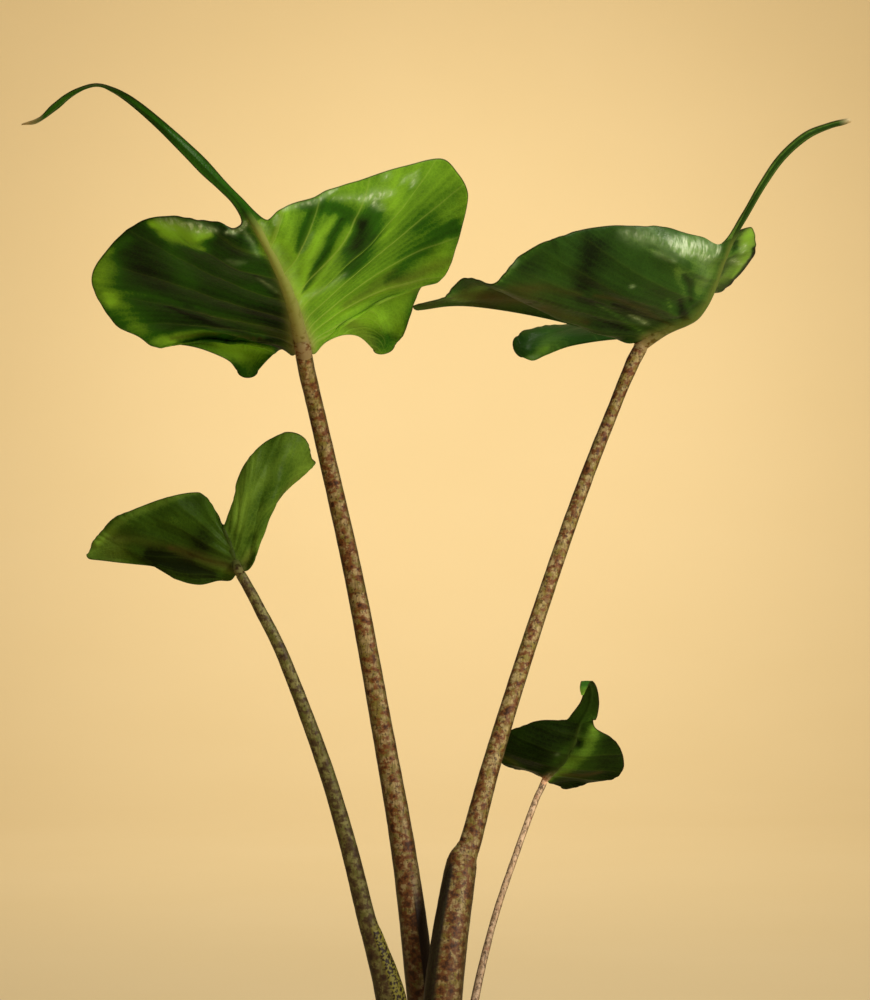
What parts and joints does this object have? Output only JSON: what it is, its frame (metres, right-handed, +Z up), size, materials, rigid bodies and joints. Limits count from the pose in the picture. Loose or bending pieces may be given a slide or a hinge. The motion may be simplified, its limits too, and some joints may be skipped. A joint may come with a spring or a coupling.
{
  "type": "potted houseplant",
  "caption": "Potted foliage plant: arrow-shaped leaves with long curling tails on tall mottled stems that rise from a tapered round pot of soil.",
  "frame": {"origin": "centre of the pot's flat base, on the surface that the pot stands on", "axes": "+Z up along the pot's axis, +X to the viewer's right and +Y away from the viewer, who sees the leaves from their under side"},
  "size_m": [0.451, 0.3161, 0.6824],
  "materials": {
    "pot": "matte",
    "soil": "matte",
    "blade_tall_left": "satin",
    "blade_tall_right": "satin",
    "blade_low_left": "satin",
    "blade_low_right": "satin",
    "stem_tall_left": "satin",
    "stem_tall_right": "satin",
    "stem_low_left": "satin",
    "stem_low_right": "satin"
  },
  "bodies": {
    "root": {"pot": "pot", "soil": "soil", "blade_tall_left": "blade_tall_left", "blade_tall_right": "blade_tall_right", "blade_low_left": "blade_low_left", "blade_low_right": "blade_low_right", "stem_tall_left": "stem_tall_left", "stem_tall_right": "stem_tall_right", "stem_low_left": "stem_low_left", "stem_low_right": "stem_low_right"}
  },
  "joints": []
}
